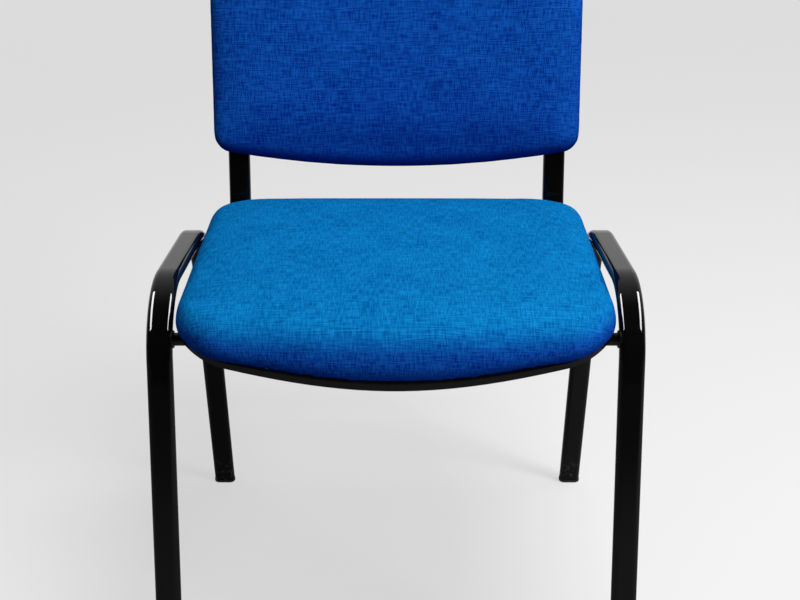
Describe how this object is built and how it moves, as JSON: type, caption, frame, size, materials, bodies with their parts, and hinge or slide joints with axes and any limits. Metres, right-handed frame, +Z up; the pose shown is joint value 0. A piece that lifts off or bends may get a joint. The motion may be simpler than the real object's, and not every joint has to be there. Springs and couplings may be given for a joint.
{
  "type": "stacking chair",
  "caption": "Stacking visitor chair with a black flat-oval tube frame, plastic soles, and a padded seat and back in blue woven fabric over plastic shells.",
  "frame": {"origin": "on the floor, midway across the chair and midway between its frontmost and rearmost points", "axes": "+X towards the right of the picture, +Y from the front of the chair to its back, +Z up"},
  "size_m": [0.5342, 0.6013, 0.8192],
  "materials": {
    "black_enamel": "gloss",
    "black_plastic": "satin",
    "shell_plastic": "satin",
    "plywood": "matte",
    "foam": "matte",
    "blue_fabric": "matte",
    "zinc_steel": "satin",
    "dark_screws": "satin"
  },
  "bodies": {
    "root": {"back_board": "plywood", "back_bolts": "zinc_steel", "back_cover": "blue_fabric", "back_foam": "foam", "back_shell": "shell_plastic", "back_shell_screws": "dark_screws", "back_spacers": "black_plastic", "back_staples": "zinc_steel", "back_support_left": "black_enamel", "back_support_right": "black_enamel", "back_tee_nuts": "zinc_steel", "back_washers": "zinc_steel", "front_cross_tube": "black_enamel", "front_foot_left": "black_plastic", "front_foot_right": "black_plastic", "rear_cross_tube": "black_enamel", "rear_foot_left": "black_plastic", "rear_foot_right": "black_plastic", "seat_board": "plywood", "seat_bolts": "zinc_steel", "seat_cover": "blue_fabric", "seat_foam": "foam", "seat_shell": "shell_plastic", "seat_shell_screws": "dark_screws", "seat_staples": "zinc_steel", "seat_tee_nuts": "zinc_steel", "seat_washers": "zinc_steel", "side_frame_left": "black_enamel", "side_frame_right": "black_enamel"}
  },
  "joints": []
}
